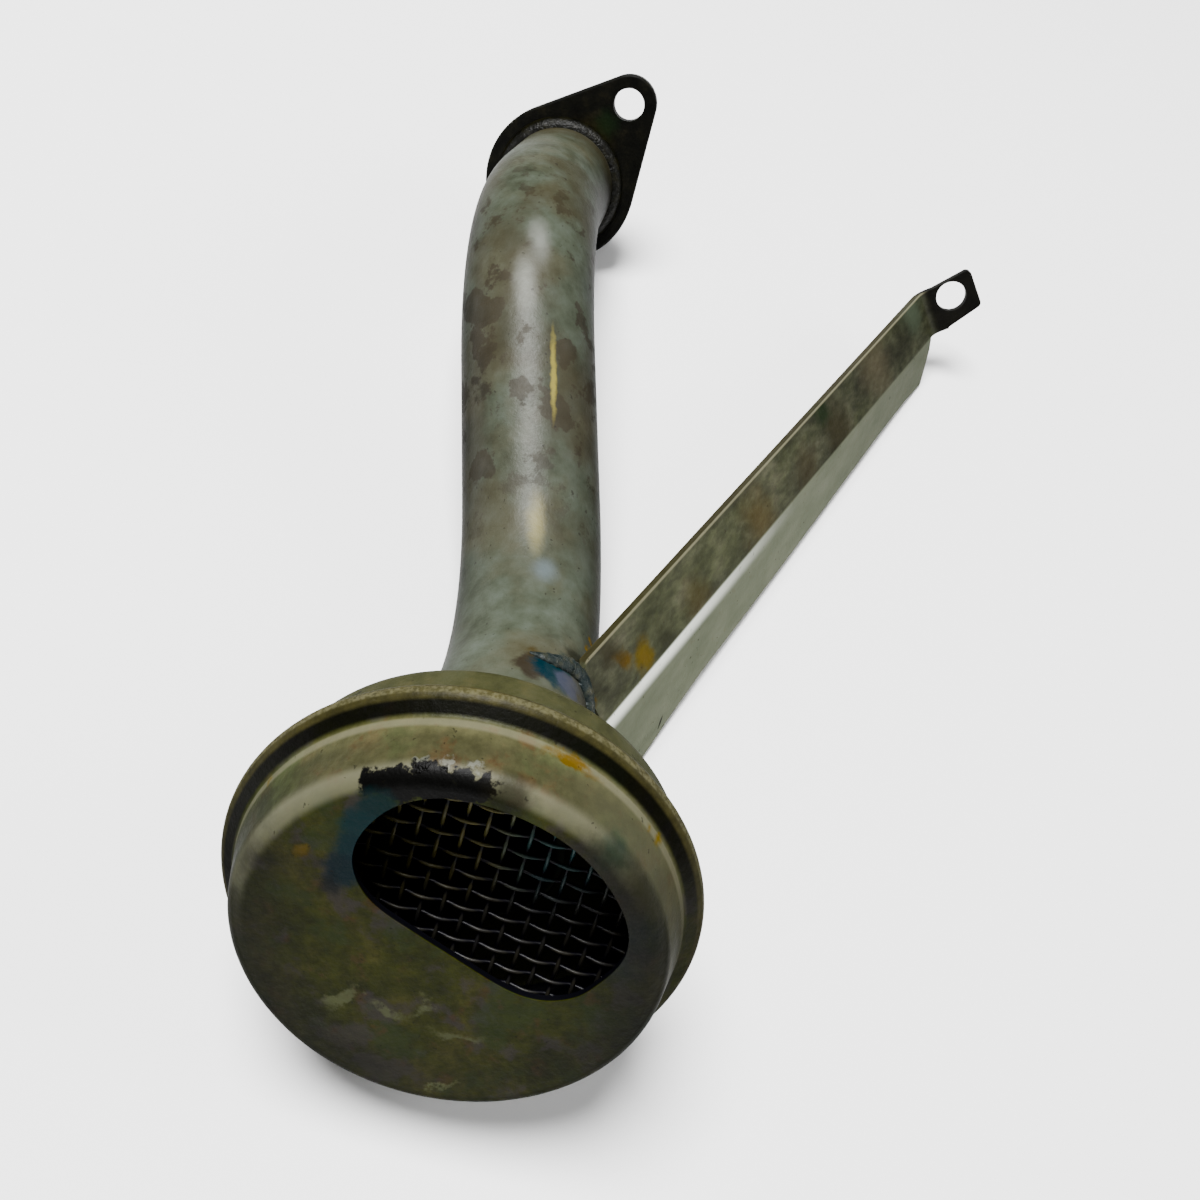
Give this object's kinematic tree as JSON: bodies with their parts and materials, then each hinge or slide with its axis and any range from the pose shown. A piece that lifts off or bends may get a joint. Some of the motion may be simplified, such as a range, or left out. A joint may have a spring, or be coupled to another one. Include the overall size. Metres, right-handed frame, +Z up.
{
  "type": "oil pump pick-up tube with strainer",
  "caption": "Bent steel suction tube with a round strainer cup, a bolted flange and a long support bracket, for drawing oil from a sump to a pump.",
  "frame": {"origin": "middle of the bounding box's base, on the surface that the part lies on", "axes": "+Z up from the surface, +Y from the strainer towards the flange, +X towards the bracket's bolt tab"},
  "size_m": [0.1214, 0.2164, 0.0632],
  "materials": {
    "strainer_sheet": "oil-stained olive-brown sheet",
    "screen_wire": "dull wire",
    "tube_steel": "grey-green with brown oxide blotches",
    "flange_plate": "dark, oily",
    "bracket_strip": "brown-olive web, paler wing",
    "filler_metal": "heat-tinted braze"
  },
  "bodies": {
    "root": {"inlet_cover": "strainer_sheet", "upper_housing": "strainer_sheet", "wire_screen": "screen_wire", "suction_tube": "tube_steel", "mounting_flange": "flange_plate", "support_bracket": "bracket_strip", "flange_braze": "filler_metal", "housing_braze": "filler_metal", "bracket_weld": "filler_metal"}
  },
  "joints": []
}
